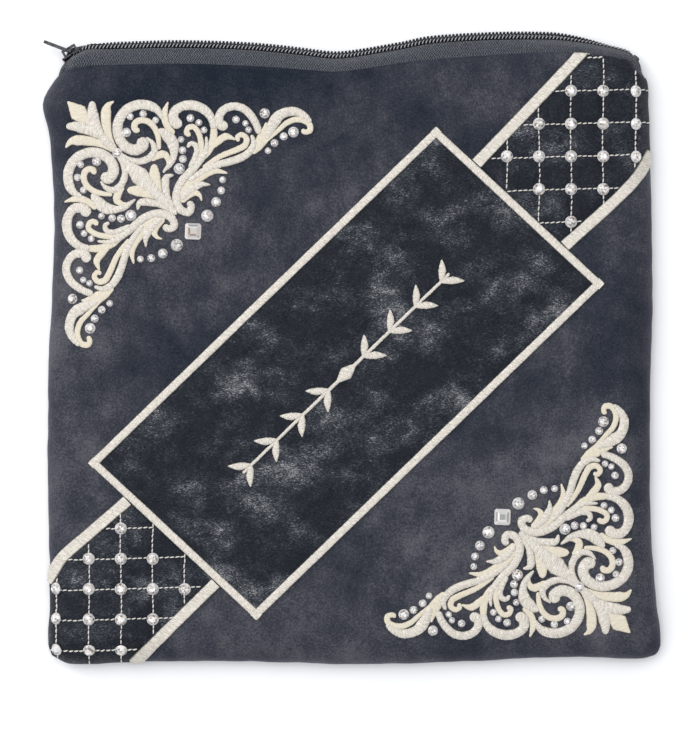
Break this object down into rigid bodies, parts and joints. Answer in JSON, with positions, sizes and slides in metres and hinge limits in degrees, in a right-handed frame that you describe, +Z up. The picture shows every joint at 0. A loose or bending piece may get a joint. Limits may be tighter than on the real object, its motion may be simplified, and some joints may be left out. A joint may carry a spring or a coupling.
{
  "type": "tallit bag",
  "caption": "Square padded velvet bag for a prayer shawl with an open zipper along its top, embroidered openwork corners, a diagonal panel and faceted stones.",
  "frame": {"origin": "on the bag's underside, below the middle of its flat back, where it rests", "axes": "+X across the bag, +Y towards the zipper, +Z up, out of the decorated front"},
  "size_m": [0.2555, 0.2614, 0.0218],
  "materials": {
    "velvet": "velvet pile with brushed lighter patches",
    "crushed_velvet": "crushed velvet, darker, with a fine glitter",
    "satin_thread": "padded satin stitch, silky",
    "cream_thread": "dense embroidery thread, silver-ivory and cream",
    "zipper_tape": "woven herringbone tape",
    "coil": "nylon coil",
    "zipper_metal": "grey painted die-cast zinc",
    "crystal": "faceted glass, foiled back"
  },
  "bodies": {
    "bag": {"bag_front_panel": "velvet", "bag_back_panel": "velvet", "centre_panel": "crushed_velvet", "centre_border": "satin_thread", "band_line_upper_left": "satin_thread", "band_line_upper_right": "satin_thread", "corner_band_upper": "crushed_velvet", "band_line_lower_left": "satin_thread", "band_line_lower_right": "satin_thread", "corner_band_lower": "crushed_velvet", "corner_embroidery_upper_left": "cream_thread", "corner_embroidery_lower_right": "cream_thread", "centre_sprig": "satin_thread", "band_crystal_upper_1": "crystal", "band_crystal_upper_2": "crystal", "band_crystal_upper_3": "crystal", "band_crystal_upper_4": "crystal", "band_crystal_upper_5": "crystal", "band_crystal_upper_6": "crystal", "band_crystal_upper_7": "crystal", "band_crystal_upper_8": "crystal", "band_crystal_upper_9": "crystal", "band_crystal_upper_10": "crystal", "band_crystal_upper_11": "crystal", "band_crystal_upper_12": "crystal", "band_crystal_upper_13": "crystal", "band_crystal_upper_14": "crystal", "band_crystal_upper_15": "crystal", "band_crystal_upper_16": "crystal", "band_crystal_lower_1": "crystal", "band_crystal_lower_2": "crystal", "band_crystal_lower_3": "crystal", "band_crystal_lower_4": "crystal", "band_crystal_lower_5": "crystal", "band_crystal_lower_6": "crystal", "band_crystal_lower_7": "crystal", "band_crystal_lower_8": "crystal", "band_crystal_lower_9": "crystal", "band_crystal_lower_10": "crystal", "band_crystal_lower_11": "crystal", "band_crystal_lower_12": "crystal", "band_crystal_lower_13": "crystal", "band_crystal_lower_14": "crystal", "band_crystal_lower_15": "crystal", "band_crystal_lower_16": "crystal", "round_crystal_upper_left_1": "crystal", "round_crystal_upper_left_2": "crystal", "square_crystal_upper_left": "crystal", "round_crystal_lower_right_1": "crystal", "round_crystal_lower_right_2": "crystal", "square_crystal_lower_right": "crystal", "zipper_tape_front": "zipper_tape", "zipper_tape_back": "zipper_tape", "zipper_coil_front": "coil", "zipper_coil_back": "coil", "top_stop_front": "zipper_metal", "top_stop_back": "zipper_metal", "zipper_slider": "zipper_metal"},
    "pull_tab": {"pull_tab": "zipper_metal"}
  },
  "joints": [
    {"name": "pull_tab_swing", "type": "hinge", "parent": "bag", "child": "pull_tab", "pos_m": [-0.11547, 0.12953, 0.0075], "axis": [0, 0, 1], "range_deg": [-120, 50]}
  ]
}
